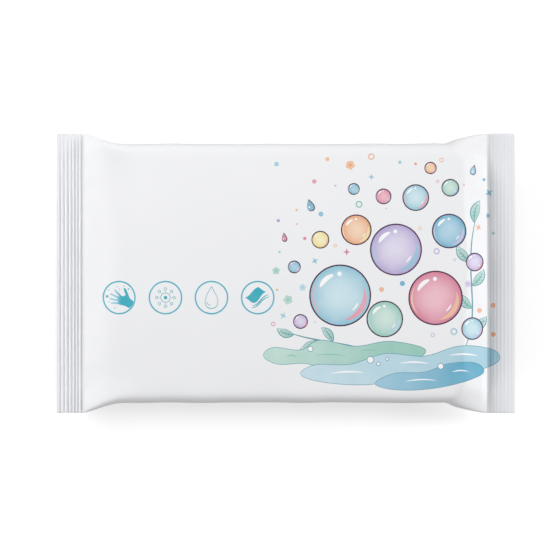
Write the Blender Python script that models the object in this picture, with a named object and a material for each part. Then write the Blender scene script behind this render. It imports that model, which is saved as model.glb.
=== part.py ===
"""Sealed flow-wrap pack of wet wipes, lying on its back.

A film tube of constant girth runs along X. It is pressed flat and crimped into ribs at both ends, and
swells over the folded stack of wipes between them. A fin seal runs along the back, folded flat under the
pack. The front of the pack faces +Z, and the underside lies in the plane z = 0.
"""

import math

import bmesh
import bpy
import numpy as np

MM = 0.001

# Driving dimensions, in metres
PACK_LENGTH = 186.0 * MM
LAY_FLAT_WIDTH = 113.5 * MM
PACK_THICKNESS = 21.0 * MM
END_SEAL_WIDTH = 11.0 * MM
SEAL_PLANE_HEIGHT = 9.6 * MM
SEALED_FILM_THICKNESS = 0.24 * MM
SHOULDER_LENGTH = 17.0 * MM
FRONT_CROWN = 0.8 * MM
RIB_PITCH = 1.5 * MM
RIB_HEIGHT = 0.42 * MM
CUT_MARGIN = 0.5 * MM
PUCKER_TAKE_UP = 0.6 * MM
FIN_WIDTH = 11.0 * MM
FIN_THICKNESS = 0.3 * MM
FIN_STEP_IN_SEAL = 0.14 * MM
FIN_GROOVE_WIDTH = 0.8 * MM
FIN_EDGE_RAMP = 3.0 * MM

# Shape of the cross-section: how square the front and the underside are
FRONT_SQUARENESS = 3.2
SIDE_ROUNDNESS = 2.0
UNDERSIDE_SQUARENESS = 3.0
UNDERSIDE_FLAT_SHARE = 0.62
SLOPE_SHARE = 0.5

# Resolution of the loft
POINTS_PER_QUARTER = 15
SIDE_CROWDING = 1.6
SHOULDER_STATIONS = 9
BODY_STATIONS = 5
CURVE_SAMPLES = 240

FILM_COLOUR = (0.90, 0.91, 0.92, 1.0)
FILM_ROUGHNESS = 0.34


def shoulder_rise(share):
    """Height of the film over the seal plane along a shoulder, from 0 at the seal to 1 at the stack.

    It climbs in a straight line over the first part, and then along a parabola that ends level.
    """
    slope = 2.0 / (1.0 + SLOPE_SHARE)
    line = slope * share
    parabola = 1.0 - slope * (1.0 - share) ** 2 / (2.0 * (1.0 - SLOPE_SHARE))
    return np.where(share < SLOPE_SHARE, line, parabola)


def shoulder_share(x):
    """How far along its shoulder x lies: 0 at the end seal and beyond, 1 over the stack."""
    from_seal = PACK_LENGTH / 2 - END_SEAL_WIDTH - abs(x)
    return min(max(from_seal / SHOULDER_LENGTH, 0.0), 1.0)


def fill_at(x):
    """Share of the full thickness at x: 0 in the end seals, 1 over the stack."""
    return float(shoulder_rise(shoulder_share(x)))


def film_across(x):
    """Film from the front's middle to the back's middle at x, less what the shoulder's puckers take up."""
    share = shoulder_share(x)
    return LAY_FLAT_WIDTH - 4.0 * share * (1.0 - share) * PUCKER_TAKE_UP


def front_rise(x):
    """Height of the front's middle over the seal plane at x, with the slight crown along the pack."""
    half_stack = PACK_LENGTH / 2 - END_SEAL_WIDTH
    crown = FRONT_CROWN * (1.0 - min(abs(x) / half_stack, 1.0) ** 2)
    level = PACK_THICKNESS - FRONT_CROWN - SEAL_PLANE_HEIGHT - SEALED_FILM_THICKNESS / 2
    return fill_at(x) * (level + crown)


def underside_drop(x):
    """Depth of the underside below the seal plane at x."""
    return fill_at(x) * (SEAL_PLANE_HEIGHT - SEALED_FILM_THICKNESS / 2)


def quarter_curve(flat, half_width, rise, squareness):
    """Superellipse quarter from the middle to the side, after a straight stretch of length flat.

    Returns the distance from the middle and the height, both as arrays.
    """
    angle = np.linspace(0.0, np.pi / 2, CURVE_SAMPLES)
    across = flat + (half_width - flat) * np.sin(angle) ** (2.0 / squareness)
    height = rise * np.cos(angle) ** (2.0 / SIDE_ROUNDNESS)
    return np.append(0.0, across), np.append(rise, height)


def curve_length(across, height):
    """Length of a curve through the given points."""
    return float(np.hypot(np.diff(across), np.diff(height)).sum())


def section_half_width(x):
    """Half width at x that uses all the film, found by halving an interval."""
    low = LAY_FLAT_WIDTH / 4
    high = LAY_FLAT_WIDTH / 2
    for _ in range(50):
        middle = (low + high) / 2
        front = quarter_curve(0.0, middle, front_rise(x), FRONT_SQUARENESS)
        flat = UNDERSIDE_FLAT_SHARE * middle
        under = quarter_curve(flat, middle, underside_drop(x), UNDERSIDE_SQUARENESS)
        if curve_length(*front) + curve_length(*under) > film_across(x):
            high = middle
        else:
            low = middle
    return (low + high) / 2


def points_along(across, height, count):
    """Points along a curve, both ends among them, that crowd towards its far end at the pack's side."""
    steps = np.hypot(np.diff(across), np.diff(height))
    travelled = np.append(0.0, np.cumsum(steps))
    share = 1.0 - (1.0 - np.linspace(0.0, 1.0, count)) ** SIDE_CROWDING
    wanted = share * travelled[-1]
    return np.interp(wanted, travelled, across), np.interp(wanted, travelled, height)


def fin_profile(fill):
    """Places across the back where the folded fin bends, each with the film's height there.

    Over the stack the fin lies level with the underside, between a crease at its root and a step at its
    free edge. In the end seals, where fill is 0, it is pressed into the crimp and only stands proud.
    """
    root = -FIN_WIDTH / 2
    edge = FIN_WIDTH / 2
    crease = fill * FIN_THICKNESS
    proud = (fill - 1.0) * FIN_STEP_IN_SEAL
    return [
        (root - FIN_GROOVE_WIDTH, 0.0),
        (root, crease),
        (root + FIN_GROOVE_WIDTH / 2, proud),
        (edge - FIN_THICKNESS / 4, proud),
        (edge, crease),
        (edge + FIN_EDGE_RAMP, 0.0),
    ]


def section(x, lift):
    """Closed cross-section at x as (y, z) points, once round from the front's middle through +Y.

    lift moves the whole section up or down, as the crimp's ribs do.
    """
    half_width = section_half_width(x)
    wall = SEALED_FILM_THICKNESS / 2
    front = quarter_curve(0.0, half_width, front_rise(x), FRONT_SQUARENESS)
    flat = UNDERSIDE_FLAT_SHARE * half_width
    under = quarter_curve(flat, half_width, underside_drop(x), UNDERSIDE_SQUARENESS)
    front_y, front_z = points_along(*front, POINTS_PER_QUARTER)
    under_y, under_z = points_along(*under, POINTS_PER_QUARTER)
    base = SEAL_PLANE_HEIGHT + lift
    front_z = base + wall + front_z
    under_z = base - wall - under_z

    beside_fin = under_y > FIN_WIDTH / 2 + 1.5 * FIN_EDGE_RAMP
    side_y = under_y[beside_fin][::-1]
    side_z = under_z[beside_fin][::-1]
    fin = fin_profile(fill_at(x))
    back = [(y, float(under_z[0]) + height) for y, height in reversed(fin)]

    ring = list(zip(front_y, front_z))
    ring += list(zip(side_y, side_z))
    ring += back
    ring += list(zip(-side_y[::-1], side_z[::-1]))
    ring += list(zip(-front_y[:0:-1], front_z[:0:-1]))
    return ring


def rib_stations():
    """Places from the cut edge inwards, with the lift of the crimp there: a zigzag of pressed ribs."""
    count = math.floor((END_SEAL_WIDTH - CUT_MARGIN) / RIB_PITCH + 0.01)
    start = END_SEAL_WIDTH - count * RIB_PITCH
    stations = [(0.0, 0.0), (start, -RIB_HEIGHT / 2)]
    for rib in range(count):
        crest = start + (rib + 0.5) * RIB_PITCH
        trough = start + (rib + 1.0) * RIB_PITCH
        stations.append((crest, RIB_HEIGHT / 2))
        stations.append((trough, -RIB_HEIGHT / 2 if rib < count - 1 else 0.0))
    return stations


def loft_stations():
    """Every section's place along X with its lift, from the -X cut edge to the +X cut edge."""
    half = PACK_LENGTH / 2
    end = [(place - half, lift) for place, lift in rib_stations()]
    seal_line = END_SEAL_WIDTH - half
    stack_end = seal_line + SHOULDER_LENGTH
    shoulder = np.linspace(seal_line, stack_end, SHOULDER_STATIONS + 1)[1:]
    end += [(float(x), 0.0) for x in shoulder]
    body = np.linspace(stack_end, -stack_end, BODY_STATIONS + 2)[1:-1]
    middle = [(float(x), 0.0) for x in body]
    return end + middle + [(-x, lift) for x, lift in reversed(end)]


def film_material():
    """White laminated film, satin to the eye."""
    material = bpy.data.materials.new("white_laminated_film")
    material.use_nodes = True
    shader = material.node_tree.nodes["Principled BSDF"]
    shader.inputs["Base Color"].default_value = FILM_COLOUR
    shader.inputs["Roughness"].default_value = FILM_ROUGHNESS
    shader.inputs["Metallic"].default_value = 0.0
    return material


def sealed_pack():
    """Loft of the film tube's sections, closed by the thin cut edge at each end."""
    mesh = bpy.data.meshes.new("sealed_pack")
    solid = bmesh.new()
    rings = []
    for x, lift in loft_stations():
        rings.append([solid.verts.new((x, y, z)) for y, z in section(x, lift)])
    for near, far in zip(rings, rings[1:]):
        for index, corner in enumerate(near):
            following = (index + 1) % len(near)
            solid.faces.new((corner, far[index], far[following], near[following]))
    solid.faces.new(rings[0])
    solid.faces.new(rings[-1][::-1])
    bmesh.ops.recalc_face_normals(solid, faces=solid.faces)
    solid.to_mesh(mesh)
    solid.free()
    mesh.shade_smooth()
    mesh.set_sharp_from_angle(angle=np.radians(25.0))
    mesh.materials.append(film_material())
    return bpy.data.objects.new("sealed_pack", mesh)


def main():
    for leftover in list(bpy.data.objects):
        bpy.data.objects.remove(leftover, do_unlink=True)
    collection = bpy.data.collections.new("wet_wipes_pack")
    bpy.context.scene.collection.children.link(collection)
    collection.objects.link(sealed_pack())


main()
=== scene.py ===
"""Sealed flow-wrap pack of wet wipes: its film with seals, folds and print, lying on a pale floor.

Shapes are worked out in millimetres, in the film's own coordinates: u runs along the pack, and v is the
distance along the film from the middle of the front, positive towards +Y. The middle of the back is where
v reaches plus or minus the lay-flat width of the tube.
"""

import math

import bpy
import numpy as np
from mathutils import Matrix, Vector
from mathutils.geometry import delaunay_2d_cdt

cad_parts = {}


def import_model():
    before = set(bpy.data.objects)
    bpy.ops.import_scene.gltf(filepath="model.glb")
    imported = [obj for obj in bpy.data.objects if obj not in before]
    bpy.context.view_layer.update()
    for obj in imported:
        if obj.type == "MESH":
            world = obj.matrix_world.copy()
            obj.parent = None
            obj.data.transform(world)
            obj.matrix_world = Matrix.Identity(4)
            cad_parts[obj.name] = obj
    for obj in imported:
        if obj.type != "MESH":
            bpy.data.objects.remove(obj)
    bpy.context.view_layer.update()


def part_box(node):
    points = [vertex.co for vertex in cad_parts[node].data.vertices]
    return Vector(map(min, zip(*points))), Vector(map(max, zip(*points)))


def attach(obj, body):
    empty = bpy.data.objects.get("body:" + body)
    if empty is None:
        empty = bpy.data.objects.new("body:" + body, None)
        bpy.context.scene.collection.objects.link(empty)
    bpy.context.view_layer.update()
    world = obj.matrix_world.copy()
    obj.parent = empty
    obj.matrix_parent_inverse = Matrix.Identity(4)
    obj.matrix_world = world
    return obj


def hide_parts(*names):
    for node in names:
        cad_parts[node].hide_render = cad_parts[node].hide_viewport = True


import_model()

MM = 0.001
node_low, node_high = (np.array(corner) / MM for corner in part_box("sealed_pack"))

# Sizes of the pack in millimetres, the overall ones from the frame
HALF_LENGTH = (node_high[0] - node_low[0]) / 2
FILM_ACROSS = node_high[1] - node_low[1]
THICKNESS = node_high[2] - node_low[2]
END_SEAL_WIDTH = 11.0
SEAL_HEIGHT = 9.6
SEALED_FILM_THICKNESS = 0.24
FRONT_CROWN = 0.8
PUCKER_TAKE_UP = 0.4
PUCKER_LENGTH = 14.0
SEAL_LINE = HALF_LENGTH - END_SEAL_WIDTH
SIDE = FILM_ACROSS / 2

# Shoulders between the stack's ends and the end seals: length, and the share that is straight
LEFT_SHOULDER = (25.0, 0.35)
RIGHT_SHOULDER = (10.5, 0.82)

# Cross-section over the stack. Its widest line lies higher than the seals.
SIDE_LIFT = 2.6
FRONT_FLAT_SHARE = 0.78
FRONT_FLAT_SHARE_AT_SEAL = 0.80
FRONT_SQUARENESS = 8.0
FRONT_DOMING = 0.26
UNDERSIDE_SQUARENESS = 2.0
UNDERSIDE_FLAT_SHARE = 0.27

# Crimp ribs of the end seals. Shares are of the rib height, and places are distances from the cut edge.
RIB_PITCH = 1.5
RIB_COUNT = 7
RIB_HEIGHT = 0.47
LEFT_RIB_SHARE = 1.14
RIGHT_RIB_SHARE = 0.2
RIB_SHARPNESS = 0.93
FIRST_CREST = 0.875
SIXTH_RIB = 8.0
SEVENTH_RIB = 9.8

# Taper of the sealed film's thickness, at the cut edges and at the side folds
CUT_TAPER = 0.3
SIDE_TAPER = 0.16

# Fin seal on the back
FIN_WIDTH = 11.0
FIN_THICKNESS = 0.3
FIN_STEP_IN_SEAL = 0.14
FIN_GROOVE_WIDTH = 0.8
FIN_EDGE_RAMP = 3.0
FIN_EDGE_WIDTH = 0.08

# Scale of the photograph: millimetres a pixel, and the pack's centre in its 560 pixel frame
PHOTO_SIDE = 560
MM_PER_PIXEL = 0.4062
PACK_CENTRE_PIXEL = (285.6, 273.2)

# Inks of the print: light and deep tone of each wash
INKS = {
    "aqua": ("#D3E9F1", "#8FC4D8"),
    "sky": ("#BBDAEA", "#68AFCC"),
    "mint": ("#D4E9E2", "#93C9BB"),
    "pink": ("#F2C3CE", "#D67E99"),
    "peach": ("#F7DABF", "#E9A37C"),
    "lilac": ("#E4DEF1", "#B3A4D4"),
    "yellow": ("#F8F1CB", "#EBD678"),
    "teal": ("#B4DBE9", "#45B0C2"),
    "pale_teal": ("#B4D6DA", "#6CB4BD"),
    "sea_line": ("#6FA5B3", "#4F8C9D"),
    "plum": ("#5A3654", "#452640"),
    "white": ("#FFFFFF", "#FAFBFD"),
}


def smooth(share):
    """Smoothstep: three squares less two cubes of a share held between 0 and 1."""
    held = np.clip(share, 0.0, 1.0)
    return held * held * (3.0 - 2.0 * held)


def bell(distance, width):
    """Bell curve: e to the minus square of distance over width."""
    return np.exp(-((distance / width) ** 2))


# Shape of the film tube


def shoulder_rise(share, straight):
    """A straight climb up to the share called straight, then a parabola that ends level at 1."""
    slope = 2.0 / (1.0 + straight)
    parabola = 1.0 - slope * (1.0 - share) ** 2 / (2.0 * (1.0 - straight))
    return np.where(share < straight, slope * share, parabola)


def from_seal_line(u):
    """Distance from the nearer seal line towards the stack, below 0 in the end seals."""
    return SEAL_LINE - np.abs(u)


def fill_at(u):
    """Share of the full thickness at u: 0 in the end seals, 1 over the stack."""
    rises = []
    for length, straight in (LEFT_SHOULDER, RIGHT_SHOULDER):
        share = np.clip(from_seal_line(u) / length, 0.0, 1.0)
        rises.append(shoulder_rise(share, straight))
    return np.where(u < 0.0, rises[0], rises[1])


def quarter(half_width, rise, flat_share, squareness, samples):
    """Quarter sections from the middle to the side, one row a station.

    Each is a flat stretch, then a superellipse: a power of the sine across, and the cosine up.
    """
    level_samples = samples // 4
    angle = np.linspace(0.0, np.pi / 2, samples)
    flat = (flat_share * half_width)[:, None]
    level = flat * np.linspace(0.0, 1.0, level_samples, endpoint=False)
    curved = flat + (half_width[:, None] - flat) * np.sin(angle) ** (2.0 / squareness)
    across = np.hstack([level, curved])
    height = rise[:, None] * np.hstack([np.ones(level_samples), np.cos(angle)])
    return across, height


def section_curves(half_width, rise, drop, fill, samples):
    """Half sections from the middle of the front round the side to the middle of the back.

    The front is domed: its height falls with the square of the way across. Its flat stretch widens towards
    the seals. Returns across, height and the way along the curve, one row a station.
    """
    flat_share = FRONT_FLAT_SHARE_AT_SEAL + (FRONT_FLAT_SHARE - FRONT_FLAT_SHARE_AT_SEAL) * fill
    front_y, front_z = quarter(half_width, rise, flat_share, FRONT_SQUARENESS, samples)
    front_z = front_z * (1.0 - FRONT_DOMING * (front_y / half_width[:, None]) ** 2)
    back_y, back_z = quarter(half_width, drop, UNDERSIDE_FLAT_SHARE, UNDERSIDE_SQUARENESS, samples)
    across = np.hstack([front_y, back_y[:, ::-1]])
    height = np.hstack([front_z, -back_z[:, ::-1]])
    steps = np.hypot(np.diff(across, axis=1), np.diff(height, axis=1))
    way = np.hstack([np.zeros((len(half_width), 1)), np.cumsum(steps, axis=1)])
    return across, height, way


def tube_table(stations, places, samples=160):
    """Across and height of the film at each station u and each place v from the front's middle.

    The half width at each station is halved into place, so that the way round the section uses up the
    film, less what the puckers beside the seals take.
    """
    fill = fill_at(stations)
    crown = FRONT_CROWN * (1.0 - (stations / SEAL_LINE) ** 2).clip(0.0)
    lifted = fill * SIDE_LIFT
    rise = fill * (THICKNESS - FRONT_CROWN - SEAL_HEIGHT - SEALED_FILM_THICKNESS / 2 + crown) - lifted
    drop = fill * (SEAL_HEIGHT - SEALED_FILM_THICKNESS / 2) + lifted
    share = np.clip(from_seal_line(stations) / PUCKER_LENGTH, 0.0, 1.0)
    film = FILM_ACROSS - 4.0 * share * (1.0 - share) * PUCKER_TAKE_UP
    low = np.full(len(stations), SIDE / 2)
    high = np.full(len(stations), SIDE)
    for _ in range(40):
        middle = (low + high) / 2
        way = section_curves(middle, rise, drop, fill, samples)[2][:, -1]
        high = np.where(way > film, middle, high)
        low = np.where(way > film, low, middle)
    across, height, way = section_curves(low, rise, drop, fill, samples)
    height = height + lifted[:, None]
    wanted = places / FILM_ACROSS
    rows = [
        (np.interp(wanted, row / row[-1], y), np.interp(wanted, row / row[-1], z))
        for y, z, row in zip(across, height, way)
    ]
    return np.array(rows).transpose(1, 0, 2)


# Nodes of the table: stations along u, and places across v with one of them on the side fold
TABLE_STEP_U = 0.25
LONGEST_STEP_V = 0.5
TABLE_MARGIN = 2
stations_each_way = round(HALF_LENGTH / TABLE_STEP_U)
table_stations = TABLE_STEP_U * np.arange(-stations_each_way, stations_each_way + 1)
table_places = np.linspace(0.0, FILM_ACROSS, 2 * math.ceil(SIDE / LONGEST_STEP_V) + 1)
table_step_v = table_places[1]


def mirrored(table, sign):
    """The table with a margin of nodes past each end: mirrored across v by sign, and repeated along u."""
    before = sign * table[:, TABLE_MARGIN:0:-1]
    after = sign * table[:, -2 : -2 - TABLE_MARGIN : -1]
    wide = np.hstack([before, table, after])
    return np.pad(wide, ((TABLE_MARGIN, TABLE_MARGIN), (0, 0)), mode="edge")


def tube_tables():
    """Across, height and outward normal of the tube at the table's nodes, each with its margin.

    The normal is the cross product of the table's slopes along u and along v.
    """
    tube_y, tube_z = tube_table(table_stations, table_places)
    y, z = mirrored(tube_y, -1.0), mirrored(tube_z, 1.0)
    y_u, y_v = np.gradient(y, TABLE_STEP_U, table_step_v)
    z_u, z_v = np.gradient(z, TABLE_STEP_U, table_step_v)
    normal = np.stack([y_u * z_v - z_u * y_v, -z_v, y_v])
    return np.stack([y, z, *(normal / np.linalg.norm(normal, axis=0))])


tube = tube_tables()


def spline_weights(share):
    """Weights of four neighbouring nodes in a Catmull-Rom spline, at a share between the middle two."""
    square = share * share
    cube = square * share
    return (
        0.5 * (-cube + 2.0 * square - share),
        0.5 * (3.0 * cube - 5.0 * square + 2.0),
        0.5 * (-3.0 * cube + 4.0 * square + share),
        0.5 * (cube - square),
    )


def look_up(u, v):
    """The tube's tables at (u, v), by Catmull-Rom splines through the nodes along both."""
    column = (np.clip(u, -HALF_LENGTH, HALF_LENGTH) + HALF_LENGTH) / TABLE_STEP_U
    row = np.clip(np.abs(v), 0.0, FILM_ACROSS) / table_step_v
    i = np.minimum(column.astype(int), len(table_stations) - 2)
    j = np.minimum(row.astype(int), len(table_places) - 2)
    weights_u = spline_weights(column - i)
    weights_v = spline_weights(row - j)
    found = 0.0
    for a, weight_u in enumerate(weights_u):
        for b, weight_v in enumerate(weights_v):
            found = found + weight_u * weight_v * tube[:, i + a + 1, j + b + 1]
    return found


# Details of the film

# End seals: slopes at the seal lines, the slow wave, and the right one's crease and its way out from the line
LEFT_SEAL_SLOPE = -0.05
RIGHT_SEAL_SLOPE = 0.35
SEAL_WAVE_HEIGHT = 0.22
SEAL_WAVE_LENGTH = 83.0
CREASE_DEPTH = 0.34
CREASE_WIDTH = 0.32
CREASE_PLACE = 1.1

# Where the fold over the stack's ends wanders most, and how much longer the shoulders are at the sides
FOLD_PLACE = 9.0
LEFT_SIDE_STRETCH = 0.56
RIGHT_SIDE_STRETCH = 0.5

# Ridge at the lower right corner: height, width, the line it lies on, length, and the ramps at its two ends
RIDGE_HEIGHT = 0.7
RIDGE_WIDTH = 4.5
RIDGE_LINE = -45.0
RIDGE_LENGTH = 16.0
RIDGE_RAMPS = (6.0, 3.0)


def across_sheet(v):
    """Distance across the front or the back from its middle, positive towards +Y."""
    return np.where(np.abs(v) > SIDE, np.sign(v) * (FILM_ACROSS - np.abs(v)), v)


def rib_wave(u, v):
    """Crimp's height: the arcsine of a cosine, a zigzag with rounded tips, faded out at the seal's edges.

    The innermost ribs lie a little nearer the cut edge, and the left crimp's middle ribs a little further
    from it. The left crimp is pressed less near the top of the pack. Its sixth and seventh ribs are low, and
    the film dips at the sixth.
    """
    from_cut = HALF_LENGTH - np.abs(u)
    nearer = 0.15 * smooth((from_cut - 7.0) / 2.0)
    further = np.where(u > 0.0, 0.0, 0.26) * bell(from_cut - 5.0, 2.4)
    phase = 2.0 * np.pi * (from_cut + (nearer - further) - FIRST_CREST) / RIB_PITCH
    zigzag = np.arcsin(RIB_SHARPNESS * np.cos(phase)) / np.arcsin(RIB_SHARPNESS)
    inside = smooth(from_cut / (0.6 * FIRST_CREST)) * smooth((END_SEAL_WIDTH + 0.2 - from_cut) / 0.8)
    at_sixth = bell(from_cut - SIXTH_RIB, 0.8)
    left = LEFT_RIB_SHARE - 0.42 * at_sixth - 0.45 * bell(from_cut - SEVENTH_RIB, 0.7)
    left = left * (1.0 - 0.45 * smooth((across_sheet(v) - 26.0) / 26.0))
    depth = np.where(u > 0.0, RIGHT_RIB_SHARE, left)
    dip = np.where(u > 0.0, 0.0, 0.13) * at_sixth
    return RIB_HEIGHT / 2 * depth * zigzag * inside - dip


def seal_bend(u, v):
    """Slow bend of the end seals: a slope at the seal line that levels out at the cut edge, and a wave.

    The right seal turns up, the left one slightly down. A crease runs along the right one near its inner rim.
    """
    out = np.clip(-from_seal_line(u), 0.0, END_SEAL_WIDTH)
    slope = np.where(u > 0.0, RIGHT_SEAL_SLOPE, LEFT_SEAL_SLOPE)
    curl = slope * out * (1.0 - out / (2.0 * END_SEAL_WIDTH))
    start = np.where(u > 0.0, 0.6, 2.1)
    wave = SEAL_WAVE_HEIGHT * np.sin(2.0 * np.pi * across_sheet(v) / SEAL_WAVE_LENGTH + start)
    crease = np.where(u > 0.0, CREASE_DEPTH, 0.0) * bell(from_seal_line(u) + CREASE_PLACE, CREASE_WIDTH)
    return curl + wave * out / END_SEAL_WIDTH - crease


def bend_line_shift(u, v):
    """How far the film's section at (u, v) is taken further along the pack than u.

    The fold over the stack's ends wanders on the front by a cosine of v, and at the sides the shoulders are
    longer by a share of the way from the seal.
    """
    from_seal = from_seal_line(u)
    along = smooth(1.0 - np.abs(from_seal - FOLD_PLACE) / FOLD_PLACE)
    window = along * (1.0 - smooth((np.abs(v) - 44.0) / 12.0))
    right = 0.8 * np.cos(2.0 * np.pi * (v + 30.0) / 60.0)
    left = -0.6 * np.cos(2.0 * np.pi * (v - 8.0) / 71.0)
    drawn_out = from_seal.clip(0.0) * (1.0 - smooth((from_seal - 12.0) / 22.0))
    stretch = np.where(u > 0.0, RIGHT_SIDE_STRETCH, LEFT_SIDE_STRETCH)
    longer = stretch * drawn_out * bell(np.abs(v) - SIDE, 9.0)
    return window * np.where(u > 0.0, right, left) + longer


def puckers(u, v):
    """Small ridges that fan out from the end seals: cosines across the film, strongest 3 mm from the seal."""
    from_seal = from_seal_line(u).clip(0.0)
    reach = from_seal / 3.0 * np.exp(1.0 - from_seal / 3.0)
    y = across_sheet(v)
    fanned = 2.0 * np.pi * y * (1.0 - 0.006 * from_seal)
    start = np.where(u > 0.0, 0.7, 2.3)
    ridges = (
        0.45 * np.cos(fanned / 5.7 + start)
        + 0.8 * np.cos(fanned / 9.1 + 2.1 * start)
        + 1.0 * np.cos(fanned / 15.3 + 3.7 * start)
    )
    strength = 0.03 + 0.06 * smooth((np.abs(y) - 18.0) / 34.0)
    return strength * reach * ridges


def corner_folds(u, v):
    """Two soft folds at each corner, from the seal's end towards the stack: bell curves across a line.

    The corner at the lower right has one more, a low ridge past which the film faces down the pack.
    """
    total = np.zeros_like(u)
    y = across_sheet(v)
    for end in (-1.0, 1.0):
        for side in (-1.0, 1.0):
            twist = 0.5 * end * side
            for depth, start_y, lean, reach, width in (
                (0.12, 51.0, 0.62 + 0.08 * twist, 9.0, 2.3),
                (-0.09, 46.0 - 2.0 * twist, 0.30, 8.0, 2.8),
            ):
                out = SEAL_LINE - end * u
                line = side * (start_y - lean * out)
                along = smooth(out / 3.0) * bell(out - reach * 0.55, reach * 0.7)
                total += depth * along * bell(y - line, width)
    ridge = smooth((u - SEAL_LINE + RIDGE_LENGTH) / RIDGE_RAMPS[0])
    ridge = ridge * smooth((SEAL_LINE - u) / RIDGE_RAMPS[1])
    return total + RIDGE_HEIGHT * ridge * bell(y - RIDGE_LINE, RIDGE_WIDTH)


def long_waves(u, v):
    """Very soft swell of the film over the stack: a few long sines, gone at the shoulders and sides."""
    y = across_sheet(v)
    window = smooth((SEAL_LINE - 10.0 - np.abs(u)) / 20.0) * smooth((46.0 - np.abs(y)) / 16.0)
    swell = (
        np.sin(2.0 * np.pi * (u / 61.0 + y / 97.0) + 0.4)
        + 0.8 * np.sin(2.0 * np.pi * (y / 43.0 - u / 138.0) + 1.9)
        + 0.5 * np.sin(2.0 * np.pi * (u / 31.0 - y / 54.0) + 4.0)
    )
    return 0.07 * window * swell


def side_ripples(u, v):
    """Shallow dents along the sides, where the film turns under: cosines along u in a band of v."""
    band = bell(np.abs(v) - SIDE + 3.0, 7.0) * smooth((SEAL_LINE - 8.0 - np.abs(u)) / 12.0)
    start = np.sign(v)
    dents = np.cos(2.0 * np.pi * u / 37.0 + start) + 0.6 * np.cos(2.0 * np.pi * u / 21.0 + 2.0 * start)
    return 0.10 * band * dents


def relief(u, v):
    """What stands out of the smooth tube or sinks into it, along its normal. The resting back stays flat."""
    rests = smooth((np.abs(v) - SIDE) / 20.0) * fill_at(u)
    folds = puckers(u, v) + corner_folds(u, v) + long_waves(u, v) + side_ripples(u, v)
    return folds * (1.0 - rests)


def fin_bends():
    """Places across the back where the folded fin bends: before and after its root, and at its free edge."""
    root = -FIN_WIDTH / 2
    edge = FIN_WIDTH / 2
    at_root = [root - FIN_GROOVE_WIDTH, root, root + FIN_GROOVE_WIDTH / 2]
    return at_root + [edge - FIN_EDGE_WIDTH, edge, edge + FIN_EDGE_RAMP]


def fin_height(u, v):
    """Height of the underside at the folded fin: a crease at its root and a step at its free edge.

    In the end seals the fin is pressed into the crimp, and stands proud below it.
    """
    across = across_sheet(v)
    fill = fill_at(u)
    crease = FIN_THICKNESS * fill
    proud = FIN_STEP_IN_SEAL * (fill - 1.0)
    level = 0.0 * fill
    heights = [level, crease, proud, proud, crease, level]
    bends = fin_bends()
    total = level
    for near, far, low, high in zip(bends, bends[1:], heights, heights[1:]):
        share = (across - near) / (far - near)
        inside = (share >= 0.0) & (share < 1.0) & (np.abs(v) > SIDE)
        total = np.where(inside, low + (high - low) * share, total)
    return total


def film_place(u, v):
    """Place of the film's points (u, v), in millimetres: the tube, moved along its normal by the relief.

    The two sheets part by the film's thickness, which tapers out at the cut edges and the side folds.
    """
    y, z, n_along, n_across, n_up = look_up(u + bend_line_shift(u, v), v)
    out = relief(u, v)
    to_cut = smooth((HALF_LENGTH - np.abs(u)) / CUT_TAPER)
    sheet = SEALED_FILM_THICKNESS / 2 * np.clip((SIDE - np.abs(v)) / SIDE_TAPER, -1.0, 1.0)
    lift = rib_wave(u, v) + seal_bend(u, v)
    return np.stack(
        [
            u + out * n_along,
            np.sign(v) * (y + out * n_across),
            SEAL_HEIGHT + z + out * n_up + lift + to_cut * (sheet + fin_height(u, v)),
        ],
        axis=-1,
    )


def film_normals(u, v, step=0.06):
    """Unit normals of film_place: the cross product of central differences along u and v."""
    along = film_place(u + step, v) - film_place(u - step, v)
    across = film_place(u, v + step) - film_place(u, v - step)
    normal = np.cross(along, across)
    return normal / np.linalg.norm(normal, axis=-1, keepdims=True).clip(1e-9)


# Print: closed outlines in film coordinates, each painted over the ones before it

painted = []


def paint(outline, ink, wash=0.5):
    """Adds an outline in an ink. wash is the tone from light 0 to deep 1, or a function of (u, v)."""
    points = np.asarray(outline, dtype=float)
    following = np.roll(points, -1, axis=0)
    area = np.sum(points[:, 0] * following[:, 1] - following[:, 0] * points[:, 1])
    painted.append((points if area > 0.0 else points[::-1], ink, wash))


def circle(centre, radius):
    """Points round a circle, about half a millimetre apart."""
    count = int(np.clip(2.0 * np.pi * radius / 0.5, 12, 110))
    angle = 2.0 * np.pi * np.arange(count) / count
    return np.array(centre) + radius * np.stack([np.cos(angle), np.sin(angle)], axis=-1)


def arc(centre, radius, first, last, count=24):
    """Points along an arc between two angles in degrees."""
    angle = np.radians(np.linspace(first, last, count))
    return np.array(centre) + radius * np.stack([np.cos(angle), np.sin(angle)], axis=-1)


def bezier(controls, count=24):
    """Points along the Bezier curve of any number of control points: Bernstein sums."""
    controls = np.asarray(controls, dtype=float)
    degree = len(controls) - 1
    share = np.linspace(0.0, 1.0, count)[:, None]
    powers = np.arange(degree + 1)
    choices = np.array([math.comb(degree, power) for power in powers])
    return (choices * share**powers * (1.0 - share) ** (degree - powers)) @ controls


def smooth_loop(corners, between=5):
    """Points along the closed Catmull-Rom spline through the corners."""
    corners = np.asarray(corners, dtype=float)
    share = np.arange(between) / between
    weights = np.stack(spline_weights(share), axis=-1)
    around = np.stack([np.roll(corners, 1 - shift, axis=0) for shift in range(4)])
    return np.einsum("sk,kcd->csd", weights, around).reshape(-1, 2)


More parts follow.
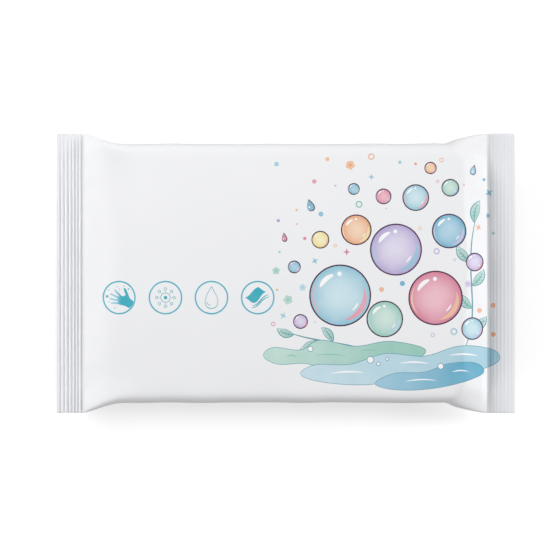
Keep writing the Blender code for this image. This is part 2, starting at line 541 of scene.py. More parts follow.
def stroke(path, width, taper=0.5):
    """Outline of a line along a path. Its width follows a power of a half sine, so its ends close."""
    path = np.asarray(path, dtype=float)
    heading = np.gradient(path, axis=0)
    heading /= np.linalg.norm(heading, axis=1, keepdims=True)
    side = np.stack([-heading[:, 1], heading[:, 0]], axis=-1)
    share = np.linspace(0.0, 1.0, len(path))
    half = 0.5 * width * np.sin(np.pi * share).clip(0.0)[:, None] ** taper
    return np.vstack([path + side * half, (path - side * half)[-2:0:-1]])


def photo_place(pixel):
    """Film coordinates of a pixel of the photograph, near the middle of the front."""
    along = (pixel[0] - PACK_CENTRE_PIXEL[0]) * MM_PER_PIXEL
    up = (PACK_CENTRE_PIXEL[1] - pixel[1]) * MM_PER_PIXEL
    return np.array([along, up])


# Pictograms

RING_RADIUS = 6.5
RING_LINE = 0.6
HAND_RING = photo_place((119.9, 297.5))
GERM_RING = photo_place((166.3, 297.5))
DROP_RING = photo_place((212.0, 297.5))
WIPE_RING = photo_place((257.9, 297.5))


def pictogram_ring(centre):
    """Thin round frame of a pictogram, bare inside."""
    paint(circle(centre, RING_RADIUS + RING_LINE / 2), "teal", 0.9)
    paint(circle(centre, RING_RADIUS - RING_LINE / 2), "film")


def hand_pictogram(centre):
    """Open hand that reaches in from the lower right, paler towards its fingertips, with specks around."""
    size = RING_RADIUS

    def shade(u, v):
        return 0.12 + 0.88 * smooth(((u - centre[0]) / size + 0.32) / 0.5)

    palm = [
        (0.91, -0.28), (0.70, -0.06), (0.58, 0.16), (0.44, 0.17), (0.27, 0.09), (0.08, 0.12),
        (-0.06, 0.02), (-0.10, -0.20), (-0.04, -0.40), (0.14, -0.46), (0.42, -0.54), (0.66, -0.64),
    ]
    paint(centre + size * smooth_loop(palm), "teal", shade)
    fingers = [
        ((0.58, -0.10), (0.50, 0.28), (0.31, 0.60), 0.17),
        ((0.18, 0.02), (-0.08, 0.26), (-0.30, 0.51), 0.13),
        ((0.10, -0.06), (-0.20, 0.08), (-0.60, 0.25), 0.13),
        ((0.10, -0.16), (-0.25, -0.16), (-0.62, -0.06), 0.13),
        ((0.10, -0.36), (-0.20, -0.33), (-0.56, -0.35), 0.12),
    ]
    for base, middle, tip, width in fingers:
        paint(centre + size * stroke(bezier([base, middle, tip], 14), width, 0.25), "teal", shade)
    specks = [
        (-0.76, 0.07, 0.090, 0.85), (0.59, 0.53, 0.055, 0.8), (-0.64, 0.46, 0.040, 0.5),
        (-0.11, 0.68, 0.040, 0.2), (0.04, 0.53, 0.045, 0.3), (0.30, 0.71, 0.045, 0.2),
        (-0.64, -0.26, 0.040, 0.4), (-0.26, -0.64, 0.050, 0.25),
    ]
    for x, y, radius, tone in specks:
        paint(circle(centre + size * np.array([x, y]), size * radius), "teal", tone)


def germ_pictogram(centre):
    """Round germ: a filled middle, a ring, and eight small rings on stalks."""
    line = 0.28
    inner = 0.29 * RING_RADIUS
    for place in range(8):
        angle = np.radians(45.0 * place)
        out = np.array([np.cos(angle), np.sin(angle)])
        stalk = np.linspace(0.28, 0.46, 5)[:, None] * RING_RADIUS * out
        paint(stroke(centre + stalk, 0.2, 0.1), "pale_teal", 0.2)
        bud = centre + 0.54 * RING_RADIUS * out
        paint(circle(bud, 0.66), "pale_teal", 0.8)
        paint(circle(bud, 0.66 - line), "film")
    paint(circle(centre, inner + line / 2), "pale_teal", 0.9)
    paint(circle(centre, inner - line / 2), "film")
    paint(circle(centre, 0.115 * RING_RADIUS), "teal", 1.0)


def drop_outline(centre, size, turn=0.0):
    """Teardrop with its point up, then turned by degrees.

    A circle's cosine goes up, and its sine across is narrowed by a power of the sine of half the angle.
    """
    angle = 2.0 * np.pi * np.arange(44) / 44
    across = 0.80 * np.sin(angle) * np.sin(angle / 2.0) ** 1.25
    up = np.cos(angle)
    c, s = np.cos(np.radians(turn)), np.sin(np.radians(turn))
    return np.array(centre) + size * np.stack([c * across - s * up, s * across + c * up], axis=-1)


def drop_pictogram(centre):
    """Drop drawn as a line, with a short inner line at its lower left."""
    paint(drop_outline(centre + (0.0, 0.05), 4.65), "pale_teal", 0.8)
    paint(drop_outline(centre + (0.0, -0.05), 4.18), "film")
    paint(stroke(arc(centre + (0.1, -1.1), 2.15, 190.0, 262.0, 12), 0.3), "pale_teal", 0.85)


def wipe_pictogram(centre):
    """Waving wipe, filled, with two thin lines that follow its lower edge."""
    size = RING_RADIUS
    upper = bezier([(-0.80, 0.00), (-0.42, 0.10), (-0.36, 0.52), (0.03, 0.66)], 14)
    right = bezier([(0.03, 0.66), (0.22, 0.56), (0.30, 0.42), (0.54, 0.36)], 10)
    lower = bezier([(0.54, 0.36), (0.12, 0.24), (0.14, -0.26), (-0.22, -0.33)], 14)
    left = bezier([(-0.22, -0.33), (-0.46, -0.34), (-0.52, -0.10), (-0.80, 0.00)], 10)
    sheet = np.vstack([upper[:-1], right[:-1], lower[:-1], left[:-1]])
    paint(centre + size * sheet, "teal", 1.0)
    for lift in (-0.09, -0.22):
        first = (-0.34 + lift / 3, -0.40 + lift)
        last = (0.70 - lift / 3, 0.27 + lift)
        line = [first, (0.14, -0.44 + lift), (0.14, 0.22 + lift), last]
        paint(centre + size * stroke(bezier(line, 20), 0.075, 0.4), "teal", 0.85)


# Free design of soap bubbles, leaves and water


def radial(centre, radius, power=2.2):
    """Tone that deepens from a circle's middle to its rim by a power of the distance."""

    def tone(u, v):
        return (np.hypot(u - centre[0], v - centre[1]) / radius).clip(0.0, 1.0) ** power

    return tone


def bubble(centre, radius, ink, glow):
    """Soap bubble: a dark outline, a wash that deepens to the rim, a crescent of a second ink and lights."""
    centre = np.array(centre)
    line = 0.40 + 0.014 * radius
    paint(circle(centre, radius), "plum", 0.8)
    paint(circle(centre, radius - line), ink, radial(centre, radius))
    paint(stroke(arc(centre, 0.80 * radius, -82.0, 18.0), 0.17 * radius, 0.9), glow, 0.45)
    paint(stroke(arc(centre, 0.87 * radius, 152.0, 224.0), 0.055 * radius, 0.7), glow, 0.25)
    paint(stroke(arc(centre, 0.70 * radius, 108.0, 158.0), 0.15 * radius, 0.45), "white")
    above = np.radians(92.0)
    spot = centre + 0.70 * radius * np.array([np.cos(above), np.sin(above)])
    paint(circle(spot, 0.075 * radius), "white")
    paint(stroke(arc(centre, 0.62 * radius, -52.0, -22.0, 10), 0.06 * radius, 0.5), "white")


def leaf(base, tip, width, ink, bow=0.12):
    """Leaf on a bowed midrib from base to tip, with a line round it, a midrib and side veins."""
    base, tip = np.array(base, dtype=float), np.array(tip, dtype=float)
    run = tip - base
    size = np.linalg.norm(run)
    normal = np.array([-run[1], run[0]]) / size
    count = 28
    rib = bezier([base, base + 0.5 * run + 2.0 * bow * size * normal, tip], count)
    paint(stroke(rib, width, 0.85), "sea_line", 0.6)
    inner = rib[0] + (rib - rib[0]) * (1.0 - 0.6 / size) + 0.3 * run / size

    def tone(u, v):
        along = ((u - base[0]) * run[0] + (v - base[1]) * run[1]) / size**2
        return 0.85 - 0.75 * smooth(along)

    paint(stroke(inner, width - 0.62, 0.85), ink, tone)
    paint(stroke(rib[:24], 0.32, 0.35), "sea_line", 0.35)
    for place in (7, 11, 15, 19):
        heading = rib[place + 1] - rib[place - 1]
        heading /= np.linalg.norm(heading)
        turn_left = np.array([-heading[1], heading[0]])
        reach = 0.30 * width * np.sin(np.pi * place / (count - 1)) ** 0.85
        for side in (-1.0, 1.0):
            end = rib[place] + side * reach * turn_left + reach * heading
            paint(stroke([rib[place], (rib[place] + end) / 2, end], 0.24, 0.35), "sea_line", 0.2)


def pool(corners, ink, light, deep):
    """Flat pool of water with a soft outline, whose tone goes from light at its left to deep at its right."""
    shape = smooth_loop(corners, 9)
    left, right = shape[:, 0].min(), shape[:, 0].max()

    def tone(u, v):
        return light + (deep - light) * smooth((u - left) / (right - left))

    paint(shape, ink, tone)
    paint(stroke(np.vstack([shape, shape[:1]]), 0.26, 0.1), "sea_line", 0.15)


def ripple(first, last, ink, wash, width):
    """Lens-shaped line on the water, bowed a little upwards."""
    first, last = np.array(first), np.array(last)
    paint(stroke(bezier([first, (first + last) / 2 + (0.0, 1.2), last], 16), width, 0.7), ink, wash)


def free_drop(centre, size, turn, ink):
    """Falling drop with an outline and one light."""
    paint(drop_outline(centre, size, turn), "plum", 0.6)
    paint(drop_outline(np.array(centre) - 0.04 * size, size - 0.42, turn), ink, 0.7)
    paint(circle(np.array(centre) + (-0.16 * size, -0.34 * size), 0.13 * size), "white")


# Centre, radius and two inks of each bubble
BUBBLES = [
    ((22.0, -9.0), 12.5, "aqua", "pink"),
    ((44.5, 9.5), 10.5, "lilac", "sky"),
    ((60.5, -10.0), 11.0, "pink", "peach"),
    ((40.0, -18.5), 7.4, "mint", "aqua"),
    ((66.0, 17.0), 7.0, "sky", "lilac"),
    ((28.5, 17.5), 6.2, "peach", "yellow"),
    ((52.5, 30.5), 5.4, "aqua", "pink"),
    ((14.0, 13.5), 3.6, "yellow", "peach"),
    ((39.5, 31.0), 3.2, "pink", "lilac"),
    ((66.5, 34.5), 3.6, "mint", "sky"),
    ((76.5, 4.5), 3.8, "lilac", "pink"),
    ((3.5, 2.5), 2.6, "sky", "lilac"),
    ((27.5, 34.0), 2.4, "sky", "aqua"),
    ((58.5, 42.5), 2.5, "peach", "pink"),
    ((75.5, -22.5), 4.6, "aqua", "lilac"),
    ((6.0, -19.5), 3.0, "lilac", "pink"),
]

# Centre, size, turn in degrees and ink of each falling drop
DROPS = [
    ((10.0, 27.5), 2.6, 18.0, "sky"),
    ((76.0, 42.0), 2.2, -14.0, "aqua"),
    ((-0.5, 14.5), 1.9, 8.0, "pink"),
]

# Confetti: the spans of u and v it falls on, its clear gap to the rest, and the room kept round each piece
CONFETTI_COUNT = 46
CONFETTI_SEED = 5
CONFETTI_AREA = ((-5.0, 86.0), (-25.0, 49.0))
CONFETTI_GAP = 1.2
CONFETTI_ROOM = 1.6
CONFETTI_KINDS = ("ring", "sparkle", "blossom", "dot", "dot")
CONFETTI_INKS = ("aqua", "pink", "peach", "lilac", "mint", "sky", "peach")

# Corners of each pool of water, with its ink and its light and deep tones
POOLS = [
    (
        [
            (-9.0, -33.5), (-5.0, -30.0), (6.0, -31.0), (14.0, -27.0), (28.0, -29.5), (42.0, -27.5),
            (56.0, -30.5), (52.0, -35.0), (36.0, -38.0), (20.0, -39.5), (8.0, -36.5), (-3.0, -36.8),
        ],
        "mint", 0.3, 0.85,
    ),
    (
        [
            (6.0, -41.0), (12.0, -37.0), (26.0, -36.8), (40.0, -32.5), (56.0, -33.5), (70.0, -29.5),
            (84.0, -31.0), (86.5, -35.5), (78.0, -39.5), (66.0, -42.0), (50.0, -41.5), (34.0, -45.0),
            (16.0, -44.2),
        ],
        "aqua", 0.15, 0.55,
    ),
    (
        [
            (36.0, -44.5), (44.0, -40.5), (56.0, -40.0), (66.0, -36.5), (77.0, -36.5), (80.0, -40.5),
            (70.0, -44.5), (56.0, -47.0), (43.0, -47.0),
        ],
        "sky", 0.35, 0.95,
    ),
]

# First and last point of each ripple, with its ink, tone and width
RIPPLES = [
    ((12.0, -33.2), (25.0, -33.6), "mint", 1.0, 0.5),
    ((30.0, -31.6), (37.0, -31.4), "mint", 1.0, 0.5),
    ((0.0, -33.6), (5.0, -34.0), "mint", 1.0, 0.5),
    ((18.0, -40.6), (32.0, -40.2), "white", 0.5, 0.7),
    ((46.0, -36.4), (58.0, -36.6), "white", 0.5, 0.7),
    ((66.0, -33.2), (78.0, -33.6), "white", 0.5, 0.7),
    ((48.0, -43.8), (61.0, -43.4), "white", 0.5, 0.5),
    ((67.0, -40.0), (74.0, -40.0), "white", 0.5, 0.5),
]

# Centre and radius of each round of foam, and the width of the line round it
FOAM = [
    ((34.2, -35.0), 1.5),
    ((37.4, -36.6), 0.9),
    ((62.6, -37.6), 1.3),
    ((41.0, -34.6), 0.8),
    ((10.0, -30.6), 1.2),
]
FOAM_LINE = 0.26


def sparkle(centre, size, turn):
    """Outline of a four-pointed sparkle: eight corners, every other one near the middle."""
    angle = np.radians(turn) + 2.0 * np.pi * np.arange(8) / 8
    radius = np.where(np.arange(8) % 2 == 0, size, 0.36 * size)[:, None]
    return np.array(centre) + radius * np.stack([np.cos(angle), np.sin(angle)], axis=-1)


def confetti():
    """Small dots, rings, sparkles and blossoms between the bubbles.

    Their places are drawn by chance, and one too near to what is already there is passed over.
    """
    chance = np.random.default_rng(CONFETTI_SEED)
    taken = [(np.array(centre), radius) for centre, radius, _, _ in BUBBLES + DROPS]
    placed = 0
    while placed < CONFETTI_COUNT:
        spot = np.array([chance.uniform(*span) for span in CONFETTI_AREA])
        kind = CONFETTI_KINDS[chance.integers(0, len(CONFETTI_KINDS))]
        size = chance.uniform(1.4, 2.4) if kind == "blossom" else chance.uniform(0.5, 1.5)
        ink = CONFETTI_INKS[chance.integers(0, len(CONFETTI_INKS))]
        tone = chance.uniform(0.5, 0.95)
        turn = chance.uniform(0.0, 90.0)
        if any(np.hypot(*(spot - centre)) < radius + size + CONFETTI_GAP for centre, radius in taken):
            continue
        taken.append((spot, size + CONFETTI_ROOM))
        placed += 1
        if kind == "ring":
            paint(circle(spot, size), ink, tone)
            paint(circle(spot, 0.62 * size), "film")
        elif kind == "sparkle":
            paint(sparkle(spot, 1.25 * size, turn), ink, tone)
        elif kind == "blossom":
            for petal in np.radians(turn + 72.0 * np.arange(5)):
                out = 0.55 * size * np.array([np.cos(petal), np.sin(petal)])
                paint(circle(spot + out, 0.46 * size), ink, tone - 0.3)
            paint(circle(spot, 0.28 * size), ink, tone + 0.2)
        else:
            paint(circle(spot, 0.7 * size), ink, tone)


def water():
    """Pools of water along the bottom right, one over the other, with ripples and foam."""
    for corners, ink, light, deep in POOLS:
        pool(corners, ink, light, deep)
    for first, last, ink, wash, width in RIPPLES:
        ripple(first, last, ink, wash, width)
    for centre, radius in FOAM:
        paint(circle(centre, radius), "sea_line", 0.3)
        paint(circle(centre, radius - FOAM_LINE), "white")


def sprigs():
    """Two leafy twigs that rise out of the water behind the bubbles."""
    twigs = (
        (bezier([(72.0, -31.0), (80.0, -16.0), (71.0, 0.0), (77.0, 22.0)], 40), (7, 14, 21, 28), 8.6),
        (bezier([(30.0, -30.0), (16.0, -27.0), (10.0, -27.0), (3.0, -24.5)], 40), (12, 22), 7.6),
    )
    for stem, places, size in twigs:
        paint(stroke(stem, 0.55, 0.3), "sea_line", 0.5)
        for number, place in enumerate(places):
            heading = stem[place + 1] - stem[place - 1]
            heading /= np.linalg.norm(heading)
            side = 1.0 if number % 2 else -1.0
            out = 0.75 * heading + 0.66 * side * np.array([-heading[1], heading[0]])
            leaf(stem[place], stem[place] + size * out, 0.46 * size, "mint", 0.10 * side)
        onward = (stem[-1] - stem[-3]) / np.linalg.norm(stem[-1] - stem[-3])
        leaf(stem[-2], stem[-1] + 0.9 * size * onward, 0.46 * size, "mint")


def whole_print():
    """All of the print, from the back to the front of the design."""
    for centre in (HAND_RING, GERM_RING, DROP_RING, WIPE_RING):
        pictogram_ring(centre)
    hand_pictogram(HAND_RING)
    germ_pictogram(GERM_RING)
    drop_pictogram(DROP_RING)
    wipe_pictogram(WIPE_RING)
    confetti()
    sprigs()
    water()
    for centre, radius, ink, glow in BUBBLES:
        bubble(centre, radius, ink, glow)
    for centre, size, turn, ink in DROPS:
        free_drop(centre, size, turn, ink)


# Film mesh

# Points that agree to this many decimals of a millimetre become one
WELD_DECIMALS = 4


def half_lines(*spans):
    """Ascending lines from spans of (first, last, step), each spread evenly over its span."""
    runs = [np.linspace(first, last, max(2, round((last - first) / step) + 1)) for first, last, step in spans]
    return np.unique(np.round(np.concatenate(runs), 6))


def grid_lines():
    """Lines of the film's grid along u and across v: fine at ribs, shoulders and side folds."""
    last_crest = HALF_LENGTH - FIRST_CREST
    first_trough = last_crest - (RIB_COUNT - 0.5) * RIB_PITCH
    along = half_lines(
        (0.0, SEAL_LINE - 20.0, 1.5),
        (SEAL_LINE - 20.0, SEAL_LINE, 0.55),
        (SEAL_LINE, first_trough, 0.2),
        (first_trough, last_crest, RIB_PITCH / 6),
        (last_crest, HALF_LENGTH, 0.22),
    )
    front = half_lines(
        (0.0, 40.0, 1.25),
        (40.0, SIDE - SIDE_TAPER, 0.8),
        (SIDE - SIDE_TAPER, SIDE, SIDE_TAPER / 2),
    )
    front = np.union1d(front, np.round(np.abs(fin_bends()), 6))
    half = np.concatenate([front, FILM_ACROSS - front[-2::-1]])
    return np.concatenate([-along[:0:-1], along]), np.concatenate([-half[:0:-1], half])


def film_triangles():
    """Constrained Delaunay triangles of the grid and the print's outlines, in film coordinates.

    The ribs' crests and troughs stay edges, so that no triangle cuts across them. Returns the points, the
    triangles, and the print layer on top of each triangle, or -1 on bare film.
    """
    along, across = grid_lines()
    grid = np.stack(np.meshgrid(along, across, indexing="ij"), axis=-1).reshape(-1, 2)
    from_cut = HALF_LENGTH - np.abs(along)
    half_pitches = (from_cut - FIRST_CREST) / (RIB_PITCH / 2)
    on_rib = (np.abs(half_pitches - np.round(half_pitches)) < 0.01) & (half_pitches < 2 * RIB_COUNT)
    on_rib &= half_pitches > -0.5
    edges = []
    for column in np.flatnonzero(on_rib):
        first = column * len(across)
        edges += [(first + row, first + row + 1) for row in range(len(across) - 1)]
    outlines = [points for points, _, _ in painted]
    starts = len(grid) + np.cumsum([0] + [len(points) for points in outlines])
    loops = [list(range(start, start + len(points))) for start, points in zip(starts, outlines)]
    everything = np.vstack([grid, *outlines]).tolist()
    corners, _, faces, _, _, under = delaunay_2d_cdt(everything, edges, loops, 0, 1e-4, True)
    top = np.array([max(layers) if layers else -1 for layers in under])
    return np.array(corners), np.array(faces), top


def ink_order():
    """Names of the film's materials, in the order of the mesh's slots: bare film first."""
    return ["film", *INKS]


def wash_tones(points, triangles, top):
    """Tone of the wash at each corner of each triangle, from the layer that lies on top there."""
    tones = np.full(triangles.shape, 0.5)
    for layer, (_, _, wash) in enumerate(painted):
        chosen = top == layer
        spots = points[triangles[chosen]]
        tones[chosen] = wash(spots[..., 0], spots[..., 1]) if callable(wash) else wash
    return tones


def agreeing(normals, corners):
    """Corner normals, with the face's own in place of any whose dot product with it is below 0.1."""
    own = np.cross(corners[:, 1] - corners[:, 0], corners[:, 2] - corners[:, 0])
    own = own / np.linalg.norm(own, axis=1, keepdims=True).clip(1e-12)
    leaning = np.einsum("fkc,fc->fk", normals, own) < 0.1
    return np.where(leaning[..., None], own[:, None, :], normals)


def film_mesh(materials):
    """The whole film as one closed mesh, with the print's inks on its own faces.

    Points of the front and back that meet at the cut edges, and of the two edges of the sheet that meet
    at the middle of the back, become one. Each corner takes the normal of the film's formula, where that
    agrees with its face.
    """
    points, triangles, top = film_triangles()
    u, v = points[:, 0], points[:, 1]
    places = film_place(u, v)
    normals = film_normals(u, v)
    rounded = np.round(places, WELD_DECIMALS)
    _, kept, merged = np.unique(rounded, axis=0, return_index=True, return_inverse=True)
    faces = merged.reshape(-1)[triangles]
    whole = (faces[:, 0] != faces[:, 1]) & (faces[:, 1] != faces[:, 2]) & (faces[:, 2] != faces[:, 0])
    faces, triangles, top = faces[whole], triangles[whole], top[whole]
    tones = wash_tones(points, triangles, top)

    mesh = bpy.data.meshes.new("sealed_film_pack")
    mesh.from_pydata(places[kept] * MM, [], faces.tolist())
    names = ink_order()
    for name in names:
        mesh.materials.append(materials[name])
    slots = np.array([names.index(ink) for _, ink, _ in painted] + [0])
    mesh.polygons.foreach_set("material_index", slots[top].astype(np.int32))
    mesh.polygons.foreach_set("use_smooth", np.ones(len(faces), dtype=bool))
    wash = mesh.attributes.new("wash", "FLOAT", "CORNER")
    wash.data.foreach_set("value", tones.reshape(-1).astype(np.float32))
    flat = mesh.uv_layers.new(name="OFBake")
    spread = np.stack([u / HALF_LENGTH, v / FILM_ACROSS], axis=-1) * 0.495 + 0.5
    flat.data.foreach_set("uv", spread[triangles].reshape(-1).astype(np.float32))
    mesh.normals_split_custom_set(agreeing(normals[triangles], places[triangles]).reshape(-1, 3))
    mesh.update()
    return mesh


# Materials

FILM_WHITES = ("#F1F2F6", "#F5F5F6")
# Painted shade: the end seals' film is a shade greyer than the rest, standing in for the shade that falls on
# them
SEAL_SHADE_WHITE = "#EFF0F3"
FILM_GLOSS = 0.18
FILM_ROUGHNESS = (0.64, 0.72)
INK_ROUGHNESS = 0.66
INK_MOTTLE = 0.22

# Dimples and grain of the film: size in millimetres, detail, strength, and depth in millimetres
FINE_SURFACE = ((5.0, 2.0, 0.35, 0.06), (0.8, 1.0, 0.25, 0.01))


def linear(colour):
    """Linear colour with alpha of an sRGB hex colour."""
    channels = [int(colour[place : place + 2], 16) / 255.0 for place in (1, 3, 5)]
    return (*[c / 12.92 if c <= 0.04045 else ((c + 0.055) / 1.055) ** 2.4 for c in channels], 1.0)


def connect(tree, node, inputs):
    """Gives a node its inputs. Each is a value, or the output that it is linked to."""
    for name, value in inputs.items():
        if isinstance(value, bpy.types.NodeSocket):
            tree.links.new(value, node.inputs[name])
        else:
            node.inputs[name].default_value = value


def add(tree, kind, inputs=None, **settings):
    """Adds a node with its settings and inputs."""
    made = tree.nodes.new(kind)
    for name, value in settings.items():
        setattr(made, name, value)
    connect(tree, made, inputs or {})
    return made


def noise(tree, places, size, detail):
    """Noise from 0 to 1 whose features are about size millimetres across, for places in metres."""
    inputs = {"Vector": places, "Scale": 1000.0 / size, "Detail": detail}
    return add(tree, "ShaderNodeTexNoise", inputs).outputs["Fac"]


def between(tree, share, low, high):
    """Number from low at share 0 to high at share 1."""
    inputs = {"Value": share, "To Min": low, "To Max": high}
    return add(tree, "ShaderNodeMapRange", inputs).outputs["Result"]


def blend(tree, share, none, full):
    """Colour from none at share 0 to full at share 1."""
    inputs = {"Factor": share, "A": none, "B": full}
    return add(tree, "ShaderNodeMix", inputs, data_type="RGBA").outputs["Result"]


def soft_step(tree, value, first, last):
    """0 up to first and 1 from last on, with a smoothstep between them."""
    inputs = {"Value": value, "From Min": first, "From Max": last}
    return add(tree, "ShaderNodeMapRange", inputs, interpolation_type="SMOOTHSTEP").outputs["Result"]


def surface(name):
    """A new material, with its node tree, its shader and its object's own coordinates."""
    material = bpy.data.materials.new(name)
    material.use_nodes = True
    tree = material.node_tree
    places = add(tree, "ShaderNodeTexCoord").outputs["Object"]
    return material, tree, tree.nodes["Principled BSDF"], places


def film_bump(tree, places):
    """Normal of the film's fine surface: soft dimples of 5 mm from the wipes, and a grain of 0.8 mm.

    The grain of real film is finer than a pixel of the render, so it is drawn coarser than it is.
    """
    below = {}
    for size, detail, strength, depth in FINE_SURFACE:
        bump = {"Height": noise(tree, places, size, detail), "Strength": strength, "Distance": depth * MM}
        below = {"Normal": add(tree, "ShaderNodeBump", {**bump, **below}).outputs["Normal"]}
    return below["Normal"]


def in_seals(tree, places):
    """1 in the end seals and 0 between them, with a soft step 1 mm wide at the seal lines."""
    along = add(tree, "ShaderNodeSeparateXYZ", {"Vector": places}).outputs["X"]
    out = add(tree, "ShaderNodeMath", {0: along}, operation="ABSOLUTE").outputs["Value"]
    return soft_step(tree, out, (SEAL_LINE - 0.5) * MM, (SEAL_LINE + 0.5) * MM)


def satin(tree, shader, places, colour, roughness):
    """Gives a shader its colour and roughness, and the fine surface and gloss that all of the film has."""
    looks = {"Base Color": colour, "Roughness": roughness, "Specular IOR Level": FILM_GLOSS}
    connect(tree, shader, {**looks, "Normal": film_bump(tree, places)})


def film_material():
    """Laminated polyethylene film, white and satin: faint cool mottling, and a gloss that varies a little.

    The end seals carry painted shade: their film is a shade greyer, standing in for the shade that the
    shoulders and crimp ribs cast there.
    """
    material, tree, shader, places = surface("laminated_polyethylene_film")
    clouds = noise(tree, places, 38.0, 2.0)
    cool, plain = (linear(colour) for colour in FILM_WHITES)
    tint = blend(tree, clouds, cool, plain)
    # Painted shade: the end seals are blended to a greyer white
    pressed = blend(tree, in_seals(tree, places), tint, linear(SEAL_SHADE_WHITE))
    satin(tree, shader, places, pressed, between(tree, clouds, *FILM_ROUGHNESS))
    return material


def ink_material(name, light, deep):
    """Flexographic ink under the film's gloss: the wash's tone, mottled like watercolour."""
    material, tree, shader, places = surface("printed_ink_" + name)
    wash = add(tree, "ShaderNodeAttribute", attribute_name="wash").outputs["Fac"]
    mottle = between(tree, noise(tree, places, 7.0, 4.0), -INK_MOTTLE, INK_MOTTLE)
    tone = add(tree, "ShaderNodeMath", {0: wash, 1: mottle}, operation="ADD", use_clamp=True)
    colour = blend(tree, tone.outputs["Value"], linear(light), linear(deep))
    satin(tree, shader, places, colour, INK_ROUGHNESS)
    return material


def all_materials():
    """The film and every ink, by name."""
    made = {"film": film_material()}
    for name, (light, deep) in INKS.items():
        made[name] = ink_material(name, light, deep)
    return made


# Stage

AMBIENT_LEVEL = 0.27
PURE_WHITE = (1.0, 1.0, 1.0, 1.0)

# Soft boxes: azimuth from +X towards +Y and elevation in degrees, distance in metres, and power in watts
LIGHTS = {
    "key_light": (139.0, 26.0, 0.95, 5.2),
    "left_light": (210.0, 22.0, 1.2, 3.7),
    "right_light": (11.0, 24.0, 1.5, 15.2),
    "front_light": (277.0, 50.0, 1.2, 1.1),
}

# Width and height of a soft box, as shares of its distance from the pack
SOFT_BOX_SHARES = (0.29, 0.375)

# Floor: half its side in metres, its gap to the pack in millimetres, the light added to it for the camera,
# and the distances in metres over which it turns plain white
FLOOR_HALF_SIDE = 3.0
FLOOR_GAP = 0.05
FLOOR_LIFT = 0.43
WHITE_FROM = 0.15
WHITE_PAST = 0.55

# Camera: height and nearest visible distance in metres, and sensor width in millimetres
CAMERA_HEIGHT = 1.6
CAMERA_NEAR = 0.05
SENSOR_WIDTH = 36.0


def seen_directly(tree):
    """1 for a ray from the camera, a reflection or a clear surface, and 0 for one that only lights."""
    rays = add(tree, "ShaderNodeLightPath").outputs
    seen = rays["Is Camera Ray"]
    for kind in ("Is Glossy Ray", "Is Transmission Ray"):
        seen = add(tree, "ShaderNodeMath", {0: seen, 1: rays[kind]}, operation="MAXIMUM").outputs["Value"]
    return seen


def floor_material():
    """Matt pale floor that keeps the pack's shadow. To the camera it is lifted, and plain white far away."""
    material, tree, shader, places = surface("matt_pale_floor")
    tree.nodes.remove(shader)
    output = tree.nodes["Material Output"]
    matt = add(tree, "ShaderNodeBsdfDiffuse", {"Color": linear("#F2F2F2")})
    bounce = add(tree, "ShaderNodeBsdfDiffuse", {"Color": linear("#909090")})
    lift = add(tree, "ShaderNodeEmission", {"Color": PURE_WHITE, "Strength": FLOOR_LIFT})
    both = add(tree, "ShaderNodeAddShader", {0: matt.outputs["BSDF"], 1: lift.outputs["Emission"]})
    away = add(tree, "ShaderNodeVectorMath", {0: places}, operation="LENGTH").outputs["Value"]
    far = soft_step(tree, away, WHITE_FROM, WHITE_PAST)
    white = add(tree, "ShaderNodeEmission", {"Color": PURE_WHITE, "Strength": 1.0})
    shown = add(
        tree,
        "ShaderNodeMixShader",
        {"Fac": far, 1: both.outputs["Shader"], 2: white.outputs["Emission"]},
    )
    mixed = add(
        tree,
        "ShaderNodeMixShader",
        {"Fac": seen_directly(tree), 1: bounce.outputs["BSDF"], 2: shown.outputs["Shader"]},
    )
    tree.links.new(mixed.outputs["Shader"], output.inputs["Surface"])
    return material


def floor():
    """Wide square floor just under the pack."""
    low, high = -FLOOR_HALF_SIDE, FLOOR_HALF_SIDE
    corners = [(low, low), (high, low), (high, high), (low, high)]
    mesh = bpy.data.meshes.new("floor")
    mesh.from_pydata([(x, y, -FLOOR_GAP * MM) for x, y in corners], [], [(0, 1, 2, 3)])
    mesh.materials.append(floor_material())
    ground = bpy.data.objects.new("floor", mesh)
    bpy.context.scene.collection.objects.link(ground)


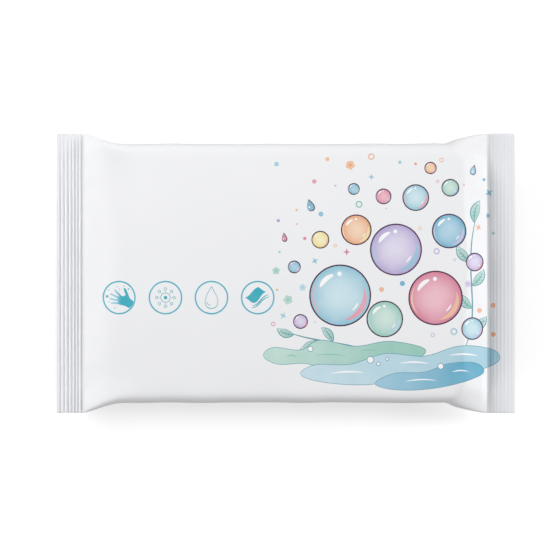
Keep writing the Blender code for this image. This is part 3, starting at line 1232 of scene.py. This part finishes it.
def world():
    """Even pale surroundings, white where the camera sees them."""
    surroundings = bpy.data.worlds.new("pale_studio")
    surroundings.use_nodes = True
    tree = surroundings.node_tree
    strength = between(tree, seen_directly(tree), AMBIENT_LEVEL, 1.0)
    connect(tree, tree.nodes["Background"], {"Strength": strength, "Color": PURE_WHITE})
    bpy.context.scene.world = surroundings


def soft_light(name, azimuth, elevation, distance, power):
    """Soft box aimed at the pack. Its sides are shares of its distance, so all look equally large from it."""
    lamp = bpy.data.lights.new(name, "AREA")
    lamp.shape = "RECTANGLE"
    lamp.size, lamp.size_y = (distance * share for share in SOFT_BOX_SHARES)
    lamp.energy = power
    turn, lift = math.radians(azimuth), math.radians(elevation)
    level = math.cos(lift)
    place = distance * Vector((level * math.cos(turn), level * math.sin(turn), math.sin(lift)))
    holder = bpy.data.objects.new(name, lamp)
    holder.location = place
    holder.rotation_euler = (-place).to_track_quat("-Z", "Y").to_euler()
    bpy.context.scene.collection.objects.link(holder)


def camera():
    """Camera straight above the pack, with the photograph's scale at the seals and its framing."""
    lens = bpy.data.cameras.new("camera")
    lens.sensor_width = SENSOR_WIDTH
    shown = PHOTO_SIDE * MM_PER_PIXEL * MM
    lens.lens = SENSOR_WIDTH * (CAMERA_HEIGHT - SEAL_HEIGHT * MM) / shown
    lens.clip_start = CAMERA_NEAR
    holder = bpy.data.objects.new("camera", lens)
    middle = PHOTO_SIDE / 2
    holder.location = (
        (middle - PACK_CENTRE_PIXEL[0]) * MM_PER_PIXEL * MM,
        (PACK_CENTRE_PIXEL[1] - middle) * MM_PER_PIXEL * MM,
        CAMERA_HEIGHT,
    )
    bpy.context.scene.collection.objects.link(holder)
    bpy.context.scene.camera = holder


def pack():
    """The printed film pack, in the place of the plain solid."""
    whole_print()
    film = bpy.data.objects.new("sealed_film_pack", film_mesh(all_materials()))
    bpy.context.scene.collection.objects.link(film)
    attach(film, "root")
    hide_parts("sealed_pack")


pack()
floor()
world()
for light_name, settings in LIGHTS.items():
    soft_light(light_name, *settings)
camera()
bpy.context.scene.view_settings.view_transform = "Standard"
